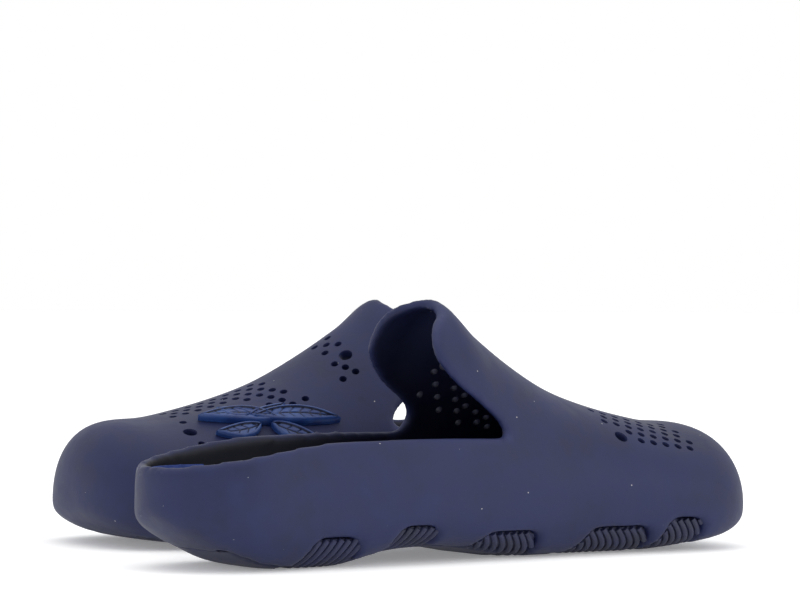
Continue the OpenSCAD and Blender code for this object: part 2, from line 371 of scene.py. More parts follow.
def skinAtHeight(x, z, side, inset=0.0):      # point on the skin above the widest level
    power = float(smoothCurve(clog["squareX"], clog["squareHigh"], x))
    wide = float(smoothCurve(clog["middleX"], clog["wideZ"], x))
    crest = float(smoothCurve(clog["crestX"], clog["crestZ"], x)) - inset
    rise = (crest - wide) * float(endFall(x, clog["topEnds"], inset))
    reach = max(1 - min(max((z - wide) / max(rise, 1e-6), 0), 1) ** power, 0) ** (1 / power)
    z = min(z, wide + rise)
    return np.array([x, float(middleOf(x)) + side * float(halfWidth(x, side, inset)) * reach, z])


def edgeLoop():      # the closed line inside the edge that the rounding follows
    drop, runs = opening["drop"], []
    for side in (-1, 1):
        t = np.linspace(0, 1, 300)
        rimXs = drop + 0.02 + (opening["rimX"][-1] - drop) * t**2
        rimZs = smoothCurve(opening["rimX"], opening["rimZ"], rimXs) - drop
        lowest, highest = opening["collarZ"][0], opening["collarZ"][-1]
        collarZs = lowest + (highest - lowest) * (1 - (1 - t)**2)
        collar = opening["collarOuter" if side < 0 else "collarInner"]
        collarXs = smoothCurve(opening["collarZ"], collar, collarZs) + drop
        corner = [(collarXs[0], rimZs[-1])]
        line = list(zip(rimXs, rimZs)) + corner + list(zip(collarXs, collarZs))
        runs.append([skinAtHeight(x, z, side, drop) for x, z in line
                     if z <= float(smoothCurve(clog["crestX"], clog["crestZ"], x)) - drop])
    loop = np.array(runs[0] + runs[1][::-1])
    run = np.concatenate([[0], np.cumsum(np.linalg.norm(np.diff(loop, axis=0), axis=1))])
    even = np.linspace(0, run[-1], int(run[-1] / 1.2))
    loop = np.stack([np.interp(even, run, loop[:, k]) for k in range(3)], 1)
    for i in range(6):
        loop = loop * 0.5 + (np.roll(loop, 1, axis=0) + np.roll(loop, -1, axis=0)) * 0.25
    mesh = bpy.data.meshes.new("edgeLoop")
    mesh.from_pydata(loop.tolist(), [(i, (i + 1) % len(loop)) for i in range(len(loop))], [])
    return newObject("edgeLoop", mesh)


def skinAlong(x, v, side):      # point on the outer skin v millimetres down from the crest
    angles = np.linspace(math.pi / 2, 0, 240)
    if side < 0:
        angles = math.pi - angles
    p = sectionPoint(x, angles)
    run = np.concatenate([[0], np.cumsum(np.linalg.norm(np.diff(p, axis=0), axis=1))])
    return np.array([np.interp(v, run, p[:, k]) for k in range(3)])


def skinNormal(x, v, side, step=1.5):
    if v < step:
        down = skinAlong(x, step, side) - skinAlong(x, step, -side)
    else:
        down = skinAlong(x, v + step, side) - skinAlong(x, v - step, side)
    along = skinAlong(x + step, v, side) - skinAlong(x - step, v, side)
    normal = np.cross(along, down) * (-side)
    normal = normal / np.linalg.norm(normal)
    return normal if normal[2] > 0 else -normal


def moulding(sweep):      # one clog's upper and side wall, before its holes
    body = clogForm("moulding")
    inner = clogForm("hollow", clog["wall"], (clog["floorX"], clog["floorZ"]), clog["squareFloor"])
    far = clog["clear"]
    ground = block("ground", (-far, -far, -far), (clog["length"] + far, far, clog["footFlat"]))
    pocket = planPrism("pocket", tread["pocketShare"], tread["pocketFrom"], tread["pocketTo"], -10,
                       tread["pocketTop"])
    combine(body, "DIFFERENCE", inner, openingCutter(), ground, pocket, *windowCutters())
    loop = edgeLoop()
    runTree(body, sweep, Rails=loop, Radius=opening["roll"], Sides=20)
    discard(loop)
    remesh(body, quality["bodyVoxel"])
    body.data.materials.clear()
    relax(body.data, quality["bodyRounds"])
    points = meshPoints(body.data)
    relax(body.data, quality["edgeRounds"], np.clip(1 - (edgeDistance(points) - 3) / 5, 0, 1))
    windowHigh = max(window[4] for window in tread["windows"]) + 0.5
    low = np.clip(1 - (points[:, 2] - windowHigh) / 3, 0, 1)      # the windows' edges are soft too
    relax(body.data, quality["windowRounds"], low)
    print("moulding:", len(body.data.polygons), "faces")
    return body


vents = {
    "holeRadius": 1.65,         # air holes
    "charmHoleRadius": 3.0,
    "flare": 0.16,              # how much wider a hole's mouth is
    "flareDepth": 0.9,
    "depth": 13.0, "standOut": 4.0,
    "pitch": 6.5, "rowStep": 5.2, "clear": 5.0,
    "sides": 20,
    # fields of air holes: from and to along the clog, from and to down from the crest
    "firstFields": [(166, 178, 1, 35), (203, 256, 0, 13), (203, 222, 13, 22), (199, 212, 21, 30),
                    (193, 206, 28, 40), (250, 259, 22, 44)],
    "firstOnRight": [(162, 190, 27, 47)],
    "secondFields": [(220, 264, 22, 46), (182, 202, 2, 9), (257, 264, 14, 22)],
    "firstCharmHoles": [(169, 84), (254.5, 50.5), (216, 54.5)],      # station and height
    "secondCharmHoles": [(223, 50.5)],
    "from": 162, "start": 1.5, "rows": 10, "columns": 18,
}


def skinRun(x, z, side):      # how far down from the crest the skin reaches height z
    angles = np.linspace(math.pi / 2, 0, 300)
    p = sectionPoint(x, angles if side > 0 else math.pi - angles)
    run = np.concatenate([[0], np.cumsum(np.linalg.norm(np.diff(p, axis=0), axis=1))])
    return float(np.interp(-z, -p[:, 2], run))


def ventPlan(firstSide):      # firstSide, +1 or -1, is the side with the first pattern
    holes = []      # station, run down from the crest, side, radius
    for spots, side in ((vents["firstCharmHoles"], firstSide), (vents["secondCharmHoles"], -firstSide)):
        for x, z in spots:
            holes.append((x, skinRun(x, z, side), side, vents["charmHoleRadius"]))
    first = vents["firstFields"] + (vents["firstOnRight"] if firstSide > 0 else [])
    for fields, side in ((first, firstSide), (vents["secondFields"], -firstSide)):
        for row in range(vents["rows"]):
            for column in range(vents["columns"]):
                x = vents["from"] + (column + 0.5 * (row % 2)) * vents["pitch"]
                v = vents["start"] + row * vents["rowStep"]
                if not any(a <= x <= b and c <= v <= d for a, b, c, d in fields):
                    continue
                spot = skinAlong(x, v, side)
                gaps = [np.linalg.norm(spot - skinAlong(h[0], h[1], h[2])) - h[3] for h in holes]
                if min(gaps) > vents["clear"] - vents["holeRadius"]:
                    holes.append((x, v, side, vents["holeRadius"]))
    return holes


def ventGuides(name, firstSide):      # one point for each hole, carrying its direction and radius
    holes = ventPlan(firstSide)
    mesh = newMesh(name, [skinAlong(*hole[:3]) for hole in holes], [])
    axis = mesh.attributes.new("holeAxis", "FLOAT_VECTOR", "POINT")
    axis.data.foreach_set("vector", np.concatenate([skinNormal(*hole[:3]) for hole in holes]))
    radius = mesh.attributes.new("holeRadius", "FLOAT", "POINT")
    radius.data.foreach_set("value", [hole[3] for hole in holes])
    print(name, len(holes), "holes")
    return newObject(name, mesh)


def feed(tree, node, inputs):      # sets or links inputs; a node stands for its first live output
    for key, value in dict(inputs).items():
        if isinstance(value, bpy.types.Node):
            value = next(output for output in value.outputs if output.enabled)
        if isinstance(value, bpy.types.NodeSocket):
            tree.links.new(value, node.inputs[key])
        else:
            node.inputs[key].default_value = value


def addNode(tree, kind, inputs=(), **settings):      # adds a node with its settings and links
    node = tree.nodes.new(kind)
    for key, value in settings.items():
        setattr(node, key, value)
    feed(tree, node, inputs)
    return node


def newTree(name, inputs):      # a Geometry Nodes tree with named inputs and one geometry output
    tree = bpy.data.node_groups.new(name, "GeometryNodeTree")
    for label, kind, value in inputs:
        item = tree.interface.new_socket(name=label, in_out="INPUT", socket_type=kind)
        if value is not None:
            item.default_value = value
    tree.interface.new_socket(name="Geometry", in_out="OUTPUT", socket_type="NodeSocketGeometry")
    return tree, tree.nodes.new("NodeGroupInput").outputs


def runTree(obj, tree, **values):      # sets the tree's inputs by identifier and keeps the plain mesh
    modifier = obj.modifiers.new(tree.name, "NODES")
    modifier.node_group = tree
    for item in tree.interface.items_tree:
        if item.in_out == "INPUT" and item.name in values:
            modifier[item.identifier] = values[item.name]
    return settle(obj)


def perforateTree():
    tree, given = newTree("perforate", [
        ("Geometry", "NodeSocketGeometry", None), ("Guides", "NodeSocketObject", None),
        ("Depth", "NodeSocketFloat", 17.0), ("Drop", "NodeSocketFloat", 4.5),
        ("Flare", "NodeSocketFloat", 0.3), ("FlareDepth", "NodeSocketFloat", 0.9),
        ("Sides", "NodeSocketInt", 20), ("Finish", "NodeSocketMaterial", None)])
    guides = addNode(tree, "GeometryNodeObjectInfo", {"Object": given["Guides"]})
    rod = addNode(tree, "GeometryNodeMeshCylinder", {
        "Vertices": given["Sides"], "Side Segments": 34, "Radius": 1.0, "Depth": given["Depth"]},
        fill_type="TRIANGLE_FAN")
    spot = addNode(tree, "GeometryNodeInputPosition")
    parts = addNode(tree, "ShaderNodeSeparateXYZ", {"Vector": spot.outputs[0]})
    sunk = addNode(tree, "ShaderNodeMath", {0: parts.outputs["Z"], 1: given["Drop"]}, operation="SUBTRACT")
    inner = addNode(tree, "ShaderNodeMath", {0: given["FlareDepth"], 1: -1.0}, operation="MULTIPLY")
    outer = addNode(tree, "ShaderNodeMath", {0: given["Flare"], 1: 1.0}, operation="ADD")
    mouth = addNode(tree, "ShaderNodeMapRange", {
        "Value": sunk.outputs[0], "From Min": inner.outputs[0], "From Max": given["FlareDepth"],
        "To Min": 1.0, "To Max": outer.outputs[0]}, interpolation_type="SMOOTHSTEP")
    across = [addNode(tree, "ShaderNodeMath", {0: parts.outputs[k], 1: mouth.outputs[0]},
                      operation="MULTIPLY") for k in ("X", "Y")]
    shaped = addNode(tree, "ShaderNodeCombineXYZ", {
        "X": across[0].outputs[0], "Y": across[1].outputs[0], "Z": sunk.outputs[0]})
    cutter = addNode(tree, "GeometryNodeSetPosition", {
        "Geometry": rod.outputs["Mesh"], "Position": shaped.outputs[0]})
    axis = addNode(tree, "GeometryNodeInputNamedAttribute", {"Name": "holeAxis"}, data_type="FLOAT_VECTOR")
    size = addNode(tree, "GeometryNodeInputNamedAttribute", {"Name": "holeRadius"}, data_type="FLOAT")
    aim = addNode(tree, "FunctionNodeAlignRotationToVector", {"Vector": axis.outputs[0]}, axis="Z")
    scale = addNode(tree, "ShaderNodeCombineXYZ", {"X": size.outputs[0], "Y": size.outputs[0], "Z": 1.0})
    placed = addNode(tree, "GeometryNodeInstanceOnPoints", {
        "Points": guides.outputs["Geometry"], "Instance": cutter.outputs["Geometry"],
        "Rotation": aim.outputs[0], "Scale": scale.outputs[0]})
    rods = addNode(tree, "GeometryNodeRealizeInstances", {"Geometry": placed.outputs[0]})
    cut = addNode(tree, "GeometryNodeMeshBoolean", {0: given["Geometry"], 1: rods.outputs[0]},
                  operation="DIFFERENCE", solver="MANIFOLD")
    finishTree(tree, cut.outputs["Mesh"], given["Finish"])
    return tree


def finishTree(tree, geometry, material):
    real = addNode(tree, "GeometryNodeRealizeInstances", {"Geometry": geometry})
    dressed = addNode(tree, "GeometryNodeSetMaterial", {"Geometry": real.outputs[0], "Material": material})
    out = tree.nodes.new("NodeGroupOutput")
    tree.links.new(dressed.outputs[0], out.inputs[0])


def ribTree():
    tree, given = newTree("ribs", [
        ("Geometry", "NodeSocketGeometry", None), ("Rails", "NodeSocketObject", None),
        ("Radius", "NodeSocketFloat", 1.4), ("Sides", "NodeSocketInt", 10),
        ("Finish", "NodeSocketMaterial", None)])
    rails = addNode(tree, "GeometryNodeObjectInfo", {"Object": given["Rails"]})
    paths = addNode(tree, "GeometryNodeMeshToCurve", {"Mesh": rails.outputs["Geometry"]})
    profile = addNode(tree, "GeometryNodeCurvePrimitiveCircle", {
        "Resolution": given["Sides"], "Radius": given["Radius"]})
    swept = addNode(tree, "GeometryNodeCurveToMesh", {
        "Curve": paths.outputs[0], "Profile Curve": profile.outputs["Curve"], "Fill Caps": True})
    union = addNode(tree, "GeometryNodeMeshBoolean", {}, operation="UNION", solver="MANIFOLD")
    tree.links.new(swept.outputs[0], union.inputs[1])
    tree.links.new(given["Geometry"], union.inputs[1])
    finishTree(tree, union.outputs["Mesh"], given["Finish"])
    return tree


def ribRails():      # the centre lines of the ribs, from a window down, under the sole and up again
    points, edges = [], []
    radius = tread["ribRadius"]
    inset = tread["recess"] + radius
    under = (clog["soleX"], [z + radius for z in clog["soleZ"]])
    for rearFoot, rearTop, frontTop, frontFoot, top, slope in tread["windows"]:
        count = int((frontFoot - rearFoot - 2) / tread["ribPitch"])
        spare = (frontFoot - rearFoot - count * tread["ribPitch"]) / 2
        lean = slope * top / tread["ribPitch"]      # leaning ribs also start before or behind the window
        for k in range(-int(max(lean, 0)), count + 1 + int(max(-lean, 0))):
            start = rearFoot + spare + k * tread["ribPitch"]
            angles = math.pi + (1 - np.cos(np.linspace(0, math.pi, 150))) / 2 * math.pi
            line = sectionPoint(start, angles, inset, under)
            line = sectionPoint(start + slope * (line[:, 2] - radius), angles, inset, under)
            share = np.clip((line[:, 2] + 6) / (top + 6), 0, 1)
            low = rearFoot + (rearTop - rearFoot) * share + radius * 0.5
            high = frontFoot + (frontTop - frontFoot) * share - radius * 0.5
            inside = (line[:, 0] > low) & (line[:, 0] < high) & (line[:, 2] < top - 0.6 * radius)
            line[:, 2] = np.maximum(line[:, 2], radius + 0.05)
            turns = np.flatnonzero(np.diff(np.concatenate([[0], inside.astype(int), [0]])))
            for first, last in zip(turns[::2], turns[1::2]):
                if last - first > 6:
                    offset = len(points)
                    points += list(line[first:last])
                    edges += [(offset + i, offset + i + 1) for i in range(last - first - 1)]
    mesh = bpy.data.meshes.new("ribRails")
    mesh.from_pydata([tuple(p) for p in points], edges, [])
    return newObject("ribRails", mesh)


def treadUnit():      # pad in the pocket, a tongue out to each window, bands let in for the ribs
    radius, recess = tread["ribRadius"], tread["recess"]
    under = (clog["soleX"], [z + radius + 0.3 for z in clog["soleZ"]])
    tongues = clogForm("tongues", recess + radius + 0.3, under, density=0.6)
    spread = windowCutters(-0.2)
    windows = spread[0]
    combine(windows, "UNION", *spread[1:])
    combine(tongues, "INTERSECT", windows)
    pad = planPrism("pad", tread["pocketShare"] - 0.004, tread["pocketFrom"] + 0.2,
                    tread["pocketTo"] - 0.2, 0.0, tread["pocketTop"] - 0.1)
    far = clog["clear"]
    bands = [block("band", (w[0] + 0.3, -far, -far), (w[3] - 0.3, far, tread["bandDepth"]))
             for w in tread["windows"]]
    combine(pad, "INTERSECT", clogForm("shell", recess, density=0.6))
    combine(pad, "DIFFERENCE", *bands)
    combine(pad, "UNION", tongues)
    remesh(pad, quality["treadVoxel"])
    pad.data.materials.clear()
    relax(pad.data, quality["treadRounds"])
    return pad


def footbedUnit():      # loose footbed with a raised edge round the heel
    gap, lip = footbed["gap"], footbed["lip"]
    bed = clogForm("footbed", clog["wall"] + gap, (clog["floorX"], [z + gap for z in clog["floorZ"]]),
                   clog["squareFloor"], density=0.7)
    xs = np.linspace(0, footbed["end"], 40)
    below = [(x, float(smoothCurve(footbed["edgeX"], footbed["edgeZ"], x))) for x in xs]
    below += [(footbed["end"], 0), (0, 0)]
    hollow = clogForm("hollow", clog["wall"] + lip,
                      (clog["floorX"], [z + footbed["thickness"] for z in clog["floorZ"]]),
                      footbed["hollow"], density=0.7)
    combine(bed, "INTERSECT", acrossPrism("below", below, -clog["clear"], clog["clear"]))
    combine(bed, "DIFFERENCE", hollow)
    remesh(bed, quality["footbedVoxel"])
    relax(bed.data, quality["footbedRounds"])
    return bed


pair = {
    "heelRest": 60.0,                    # where the right heel's tread stands, the frame's origin
    "leftHeel": (277.5, 96.0), "leftTurn": 174.34,
}


def place(mesh, left):      # from one clog's millimetres into the frame's metres
    if left:
        turn = Matrix.Rotation(math.radians(pair["leftTurn"]), 4, "Z") @ Matrix.Diagonal((1, -1, 1, 1))
        turn = Matrix.Translation((*pair["leftHeel"], 0)) @ turn
    else:
        turn = Matrix.Translation((-pair["heelRest"], 0, 0))
    mesh.transform(Matrix.Scale(0.001, 4) @ turn)
    if left:
        mesh.flip_normals()
    mesh.update()


def smoothShade(mesh, angle=40):
    mesh.shade_smooth()
    mesh.set_sharp_from_angle(angle=math.radians(angle))


def setNumbers(mesh, name, values):      # one number for each vertex, for a material to read
    attribute = mesh.attributes.get(name) or mesh.attributes.new(name, "FLOAT", "POINT")
    attribute.data.foreach_set("value", np.ascontiguousarray(values, dtype=np.float32))


charm = {
    "seat": (216, 54.5),
    "lift": 0.3,               # gap between the leaf and the clog
    "castFrom": 40,            # how far out the search for the clog's skin starts
    "sideHeight": 1.5, "edgeRound": 1.3, "topHeight": 3.3,
    "bead": 0.9,               # height of the raised border above the leaf's blade
    "beadWidth": 1.5, "veinWidth": 0.55, "veinDepth": 0.7, "veinSpacing": 4.6, "veinSlant": 0.9,
    "beadSlope": 0.5, "veinClear": 0.3, "midClear": 0.8, "sideVeinShare": 0.8,
    "grooveIn": 0.35, "grooveHalf": 0.4,      # a line of painted shade along the border's inner side
    "steps": 110, "across": 44,
    # stalk end, tip (along and up from the seat), width, bend, height above the others
    "leaves": [((7, 1), (-33, 0), 10, -2, 1.1), ((0, -3), (-22, -9.5), 9, 1.5, 0),
               ((-3, 0), (32, 3.5), 11.5, 2.5, 0.7), ((5, -4), (27, -10), 9.5, -1.5, 0),
               ((9, 2), (-9, 9.5), 8.5, 1.5, 0.35), ((8, 3), (22, 10.5), 8, -1, 0.15)],
}


def leafHeight(s, t, half, length, extra):      # height over the skin, with border and veins
    edge = (1 - np.abs(t)) * half
    dome = np.clip(edge / charm["edgeRound"], 0, 1)
    shoulder = np.sqrt(np.clip(1 - (1 - dome) ** 2, 0, 1))
    blade = charm["topHeight"] - charm["bead"]
    bead = charm["bead"] * (1 - np.clip((edge - charm["beadWidth"]) / charm["beadSlope"], 0, 1))
    top = blade + bead + extra
    across = np.abs(t) * half
    along = s * length - across * charm["veinSlant"]
    side = np.abs((along / charm["veinSpacing"]) % 1 - 0.5) * charm["veinSpacing"]
    middle = np.clip(1 - across / charm["veinWidth"], 0, 1)
    sides = np.clip(1 - side / charm["veinWidth"], 0, 1) * (edge > charm["beadWidth"] + charm["veinClear"])
    carve = np.maximum(middle * (edge > charm["midClear"]), sides * charm["sideVeinShare"])
    height = charm["sideHeight"] + (top - charm["sideHeight"]) * shoulder - charm["veinDepth"] * carve
    # no groove is cut here: this only marks painted shade along the border's inner side
    groove = np.clip(1 - np.abs(edge - charm["beadWidth"] - charm["grooveIn"]) / charm["grooveHalf"], 0, 1)
    return height, np.maximum(carve, groove)


def leafSolid(start, tip, width, bend, extra):
    start, tip = np.array(start, float), np.array(tip, float)
    length = np.linalg.norm(tip - start)
    ahead = (tip - start) / length
    beside = np.array([-ahead[1], ahead[0]])
    rows, columns = charm["steps"], charm["across"]
    s = (1 - np.cos(np.linspace(0, math.pi, rows))) / 2
    t = np.sin(np.linspace(-math.pi / 2, math.pi / 2, columns))
    s, t = np.meshgrid(s, t, indexing="ij")
    half = np.maximum(width / 2 * np.sin(math.pi * s**0.8) ** 0.75, 0.45)
    flat = start + s[..., None] * length * ahead
    flat = flat + (t * half + bend * np.sin(math.pi * s))[..., None] * beside
    height, carve = leafHeight(s, t, half, length, extra)
    top = np.concatenate([flat, height[..., None]], -1).reshape(-1, 3)
    bottom = np.concatenate([flat, np.full_like(height, charm["lift"])[..., None]], -1).reshape(-1, 3)
    size = rows * columns
    faces = []
    for i in range(rows - 1):
        for k in range(columns - 1):
            a = i * columns + k
            faces.append((a, a + columns, a + columns + 1, a + 1))
            faces.append((size + a, size + a + 1, size + a + columns + 1, size + a + columns))
    ring = [k for k in range(columns)] + [i * columns + columns - 1 for i in range(1, rows)]
    ring += [(rows - 1) * columns + k for k in range(columns - 2, -1, -1)]
    ring += [i * columns for i in range(rows - 2, 0, -1)]
    for k, a in enumerate(ring):
        b = ring[(k + 1) % len(ring)]
        faces.append((a, b, size + b, size + a))
    obj = newObject("leaf", newMesh("leaf", np.concatenate([top, bottom]), faces))
    # the carved veins and the border line, where the vinyl gets painted shade
    setNumbers(obj.data, "carved", np.concatenate([carve.ravel(), np.zeros(size)]))
    return outward(obj)


def leafCharm(skin):      # the sprig, bent to the upper's outer skin
    leaves = [leafSolid(*leaf) for leaf in charm["leaves"]]
    sprig = combine(leaves[0], "UNION", *leaves[1:])
    x, z = charm["seat"]
    run = skinRun(x, z, -1)
    seat, normal = Vector(skinAlong(x, run, -1)), Vector(skinNormal(x, run, -1))
    along = Vector((0, 0, 1)).cross(normal).normalized()
    up = normal.cross(along)
    points = meshPoints(sprig.data)
    for index, (u, v, height) in enumerate(points):
        spot = seat + along * u + up * v
        hit, hitNormal = skin.ray_cast(spot + normal * charm["castFrom"], -normal)[1:3]
        points[index] = hit + hitNormal.lerp(normal, 0.5).normalized() * height
    setMeshPoints(sprig.data, points)
    return outward(sprig)


def linear(hexColour):      # sRGB hex to a linear colour with alpha
    parts = [int(hexColour[i:i + 2], 16) / 255 for i in (1, 3, 5)]
    return tuple(c / 12.92 if c <= 0.04045 else ((c + 0.055) / 1.055) ** 2.4 for c in parts) + (1.0,)


def newFinish(name, roughness, ior):      # material, its tree, the shader and Object coordinates
    material = bpy.data.materials.new(name)
    material.use_nodes = True
    tree = material.node_tree
    shader = tree.nodes["Principled BSDF"]
    feed(tree, shader, {"Roughness": roughness, "IOR": ior})
    spot = addNode(tree, "ShaderNodeTexCoord").outputs["Object"]
    return material, tree, shader, spot


def perMillimetre(size):      # texture scale whose features are about size millimetres
    return 1000.0 / size


def coat(tree, shader, base, layers, roughness, reliefs):
    # lays colours over the base by their shares, then adds relief of (height, depth in mm), finest last
    colour = linear(base)
    for share, shade in layers:
        colour = addNode(tree, "ShaderNodeMix", {0: share, 6: colour, 7: linear(shade)}, data_type="RGBA")
    under = {}
    for height, depth in reliefs:
        under = {"Normal": addNode(tree, "ShaderNodeBump", {
            "Height": height, "Distance": depth / 1000, "Strength": 1.0, **under})}
    feed(tree, shader, {"Base Color": colour, "Roughness": roughness, **under})


def specks(tree, spot, spacing, radius, share, strength):      # scattered round specks
    cells = addNode(tree, "ShaderNodeTexVoronoi", {"Vector": spot, "Scale": perMillimetre(spacing)})
    rim, full = radius / spacing, radius / spacing * 0.6
    near = addNode(tree, "ShaderNodeMapRange", {
        "Value": cells, "From Min": rim, "From Max": full, "To Max": strength})
    pick = addNode(tree, "ShaderNodeSeparateColor", {0: cells.outputs["Color"]})
    chosen = addNode(tree, "ShaderNodeMath", {0: pick, 1: 1 - share}, operation="GREATER_THAN")
    return addNode(tree, "ShaderNodeMath", {0: near, 1: chosen}, operation="MULTIPLY")


foamLook = {
    "navy": "#161e47", "pale": "#202852", "deep": "#12183a", "chalk": "#777b8c", "dust": "#e2e1db",
    # edge is a painted highlight along the rim and collar, inside is painted shade within the clog
    "edge": "#2f3560", "inside": "#0b0c13",
    "cloud": 38.0, "swirl": 9.0,             # sizes in mm of the drifts of tone
    "grain": 0.45, "grainDepth": 0.012,      # the mould's spark-eroded grain
    "swirlDepth": 0.05, "scuffSize": 2.2, "scuffDepth": 0.02,
    "swirlShare": 0.5, "paintedHighlightShare": 0.6,
    "dust1": (8.0, 0.3, 0.4, 0.75),          # spacing, radius, share of the cells, strength
    "dust2": (5.3, 0.16, 0.12, 0.6),
    "gloss": 0.35,                           # a chalky skin reflects less than its index says
}


def mouldedFoam():      # cross-linked EVA foam, compression moulded: matte, with a soft skin and fine grain
    look = foamLook
    material, tree, shader, spot = newFinish("cross-linked EVA foam, navy", 0.56, 1.49)
    cloudNoise = addNode(tree, "ShaderNodeTexNoise", {
        "Vector": spot, "Scale": perMillimetre(look["cloud"]), "Detail": 3.0})
    cloud = addNode(tree, "ShaderNodeMapRange", {"Value": cloudNoise, "From Min": 0.35, "From Max": 0.65})
    swirlNoise = addNode(tree, "ShaderNodeTexNoise", {
        "Vector": spot, "Scale": perMillimetre(look["swirl"]), "Detail": 4.0, "Roughness": 0.6})
    swirl = addNode(tree, "ShaderNodeMapRange", {"Value": swirlNoise, "From Min": 0.3, "From Max": 0.7})
    swirlShare = addNode(tree, "ShaderNodeMath", {0: swirl, 1: look["swirlShare"]}, operation="MULTIPLY")
    rim = addNode(tree, "ShaderNodeAttribute", attribute_name="paintedRimHighlight")      # painted highlight along the rim and collar edge
    rimHighlightShare = addNode(tree, "ShaderNodeMath", {0: rim.outputs["Fac"], 1: look["paintedHighlightShare"]},
                       operation="MULTIPLY")
    # painted shade inside the clog, darker further in
    inside = addNode(tree, "ShaderNodeAttribute", attribute_name="inside")
    scuffNoise = addNode(tree, "ShaderNodeTexNoise", {
        "Vector": spot, "Scale": perMillimetre(look["scuffSize"]), "Detail": 5.0, "Roughness": 0.7})
    scratches = addNode(tree, "ShaderNodeMapRange", {"Value": scuffNoise, "From Min": 0.5, "From Max": 0.62})
    scuffed = addNode(tree, "ShaderNodeAttribute", attribute_name="scuffed")
    scuff = addNode(tree, "ShaderNodeMath", {0: scuffed.outputs["Fac"], 1: scratches}, operation="MULTIPLY")
    grain = addNode(tree, "ShaderNodeTexNoise", {"Vector": spot, "Scale": perMillimetre(look["grain"])})
    roughness = addNode(tree, "ShaderNodeMapRange", {"Value": swirl, "To Min": 0.52, "To Max": 0.62})
    # random tone, then the painted rim highlight and the painted shade inside, then real scuffs and dust
    layers = [(cloud, look["navy"]), (swirlShare, look["pale"]), (rimHighlightShare, look["edge"]),
              (inside.outputs["Fac"], look["inside"]), (scuff, look["chalk"]),
              (specks(tree, spot, *look["dust1"]), look["dust"]),
              (specks(tree, spot, *look["dust2"]), look["dust"])]
    coat(tree, shader, look["deep"], layers, roughness, [
        (swirl, look["swirlDepth"]), (scuffNoise, look["scuffDepth"]), (grain, look["grainDepth"])])
    shader.inputs["Specular IOR Level"].default_value = look["gloss"]
    return material


treadLook = {
    "rib": "#1c2147", "groove": "#141835", "dust": "#6a6c7a",
    "cloud": 14.0, "dustSize": 1.1, "dustShare": 0.22,
    "skin": 3.0, "skinDepth": 0.03, "grain": 0.6, "grainDepth": 0.015,
}


def treadRubber():      # moulded rubber tread: a little duller than the foam, dusty in its grooves
    look = treadLook
    material, tree, shader, spot = newFinish("moulded tread rubber, navy", 0.62, 1.52)
    cloudNoise = addNode(tree, "ShaderNodeTexNoise", {
        "Vector": spot, "Scale": perMillimetre(look["cloud"]), "Detail": 3.0})
    cloud = addNode(tree, "ShaderNodeMapRange", {"Value": cloudNoise, "From Min": 0.35, "From Max": 0.65})
    dustNoise = addNode(tree, "ShaderNodeTexNoise", {
        "Vector": spot, "Scale": perMillimetre(look["dustSize"]), "Detail": 4.0, "Roughness": 0.7})
    dusty = addNode(tree, "ShaderNodeMapRange", {
        "Value": dustNoise, "From Min": 0.58, "From Max": 0.75, "To Max": look["dustShare"]})
    roughness = addNode(tree, "ShaderNodeMapRange", {"Value": cloud, "To Min": 0.58, "To Max": 0.68})
    skin = addNode(tree, "ShaderNodeTexNoise", {
        "Vector": spot, "Scale": perMillimetre(look["skin"]), "Detail": 3.0})
    grain = addNode(tree, "ShaderNodeTexNoise", {"Vector": spot, "Scale": perMillimetre(look["grain"])})
    coat(tree, shader, look["groove"], [(cloud, look["rib"]), (dusty, look["dust"])], roughness,
         [(skin, look["skinDepth"]), (grain, look["grainDepth"])])
    return material


bedLook = {
    "blue": "#1f3a82", "shade": "#182e68", "worn": "#2c4a92",
    "cloud": 26.0, "rubbed": 11.0, "rubbedShare": 0.3,
    "cell": 1.6, "cellDepth": 0.16, "grain": 0.5, "grainDepth": 0.02,
}


def footbedFoam():      # die-cut EVA sockliner, bright blue, with an embossed pebble against slipping
    look = bedLook
    material, tree, shader, spot = newFinish("embossed sockliner foam, bright blue", 0.7, 1.48)
    pebble = addNode(tree, "ShaderNodeTexVoronoi", {"Vector": spot, "Scale": perMillimetre(look["cell"])},
                     feature="SMOOTH_F1")
    cloudNoise = addNode(tree, "ShaderNodeTexNoise", {
        "Vector": spot, "Scale": perMillimetre(look["cloud"]), "Detail": 3.0})
    cloud = addNode(tree, "ShaderNodeMapRange", {"Value": cloudNoise, "From Min": 0.35, "From Max": 0.65})
    rubNoise = addNode(tree, "ShaderNodeTexNoise", {
        "Vector": spot, "Scale": perMillimetre(look["rubbed"]), "Detail": 4.0})
    rubbed = addNode(tree, "ShaderNodeMapRange", {
        "Value": rubNoise, "From Min": 0.5, "From Max": 0.7, "To Max": look["rubbedShare"]})
    roughness = addNode(tree, "ShaderNodeMapRange", {
        "Value": rubbed, "From Max": look["rubbedShare"], "To Min": 0.72, "To Max": 0.6})
    grain = addNode(tree, "ShaderNodeTexNoise", {"Vector": spot, "Scale": perMillimetre(look["grain"])})
    coat(tree, shader, look["shade"], [(cloud, look["blue"]), (rubbed, look["worn"])], roughness,
         [(pebble, look["cellDepth"]), (grain, look["grainDepth"])])
    return material


charmLook = {
    # the darkest colour is painted shade for the engraving
    "blue": "#16306a", "light": "#21427f", "paintedGrooveShade": "#0a1330",
    "cloud": 7.0, "skin": 2.4, "skinDepth": 0.03, "grain": 0.5, "grainDepth": 0.01,
}


